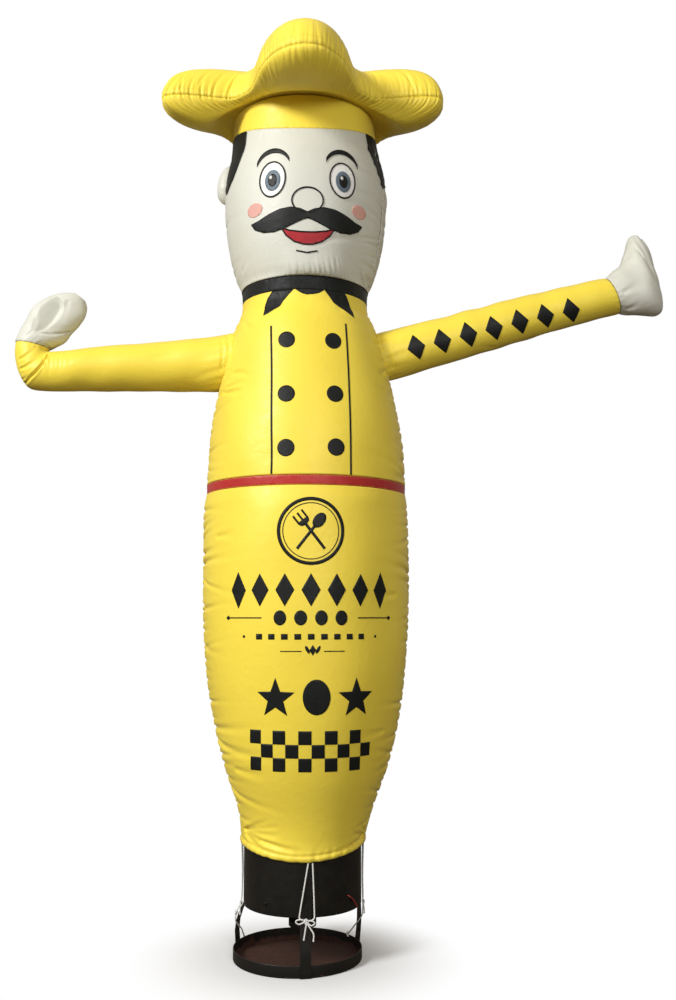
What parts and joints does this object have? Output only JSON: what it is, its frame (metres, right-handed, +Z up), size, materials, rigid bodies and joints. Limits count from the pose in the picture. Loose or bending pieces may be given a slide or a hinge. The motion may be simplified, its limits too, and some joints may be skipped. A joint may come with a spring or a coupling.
{
  "type": "inflatable air dancer",
  "caption": "Tall sewn nylon tube figure of a cook with outstretched arms and a puffed hat, tied over a fan drum that stands on legs in a round tray.",
  "frame": {"origin": "middle of the underside of the round tray, on the ground", "axes": "+Z up; the printed front faces -Y; the arms reach along -X and +X"},
  "size_m": [2.7452, 1.2168, 3.6369],
  "materials": {
    "yellow_nylon": "satin",
    "ivory_nylon": "satin",
    "red_nylon": "satin",
    "black_nylon": "satin",
    "black_steel": "satin",
    "tray_steel": "matte",
    "motor_iron": "satin",
    "fan_metal": "matte",
    "white_cord": "matte",
    "red_wire": "gloss"
  },
  "bodies": {
    "root": {"tray": "tray_steel", "post_front": "black_steel", "post_right": "black_steel", "post_back": "black_steel", "post_left": "black_steel", "drum": "black_steel", "motor": "motor_iron", "motor_bar": "black_steel", "fan": "fan_metal", "body_lower_front": "yellow_nylon", "body_lower_back": "yellow_nylon", "waist_band": "red_nylon", "coat_front": "yellow_nylon", "coat_back": "yellow_nylon", "collar": "black_nylon", "head_front": "ivory_nylon", "head_back": "ivory_nylon", "ear_left": "ivory_nylon", "ear_right": "ivory_nylon", "hat_band": "yellow_nylon", "crown_under": "yellow_nylon", "crown_top": "yellow_nylon", "sleeve_left": "yellow_nylon", "sleeve_right": "yellow_nylon", "hand_left": "ivory_nylon", "hand_right": "ivory_nylon", "tie_front": "white_cord", "tie_left": "white_cord", "tie_right": "white_cord", "tie_back": "white_cord", "wire_stub": "red_wire"}
  },
  "joints": []
}
